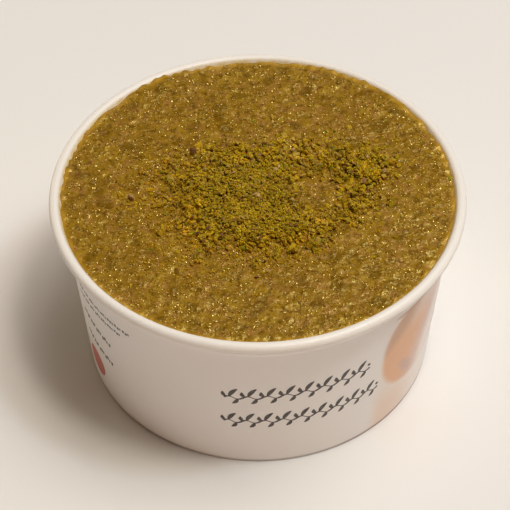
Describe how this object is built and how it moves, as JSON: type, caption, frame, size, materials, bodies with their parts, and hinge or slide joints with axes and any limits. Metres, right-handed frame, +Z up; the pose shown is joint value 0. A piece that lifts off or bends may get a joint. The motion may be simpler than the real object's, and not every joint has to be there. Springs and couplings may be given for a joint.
{
  "type": "semolina dessert cup",
  "caption": "Squat paper cup with a rolled rim, filled level with grainy semolina dessert and sprinkled in the middle with ground pistachio.",
  "frame": {"origin": "middle of the cup's foot, on the surface that it stands on", "axes": "+Z up along the cup's axis; -Y faces the viewer; +X to the viewer's right"},
  "size_m": [0.115, 0.115, 0.0592],
  "materials": {
    "cup_board": "white coated paper board, satin, printed outside",
    "semolina": "wet grainy cooked semolina, olive brown, glistening",
    "pistachio": "dry ground nut crumbs, yellow green, matt"
  },
  "bodies": {
    "root": {"cup_wall": "cup_board", "cup_bottom": "cup_board", "semolina_filling": "semolina", "pistachio_crumbs": "pistachio"}
  },
  "joints": []
}
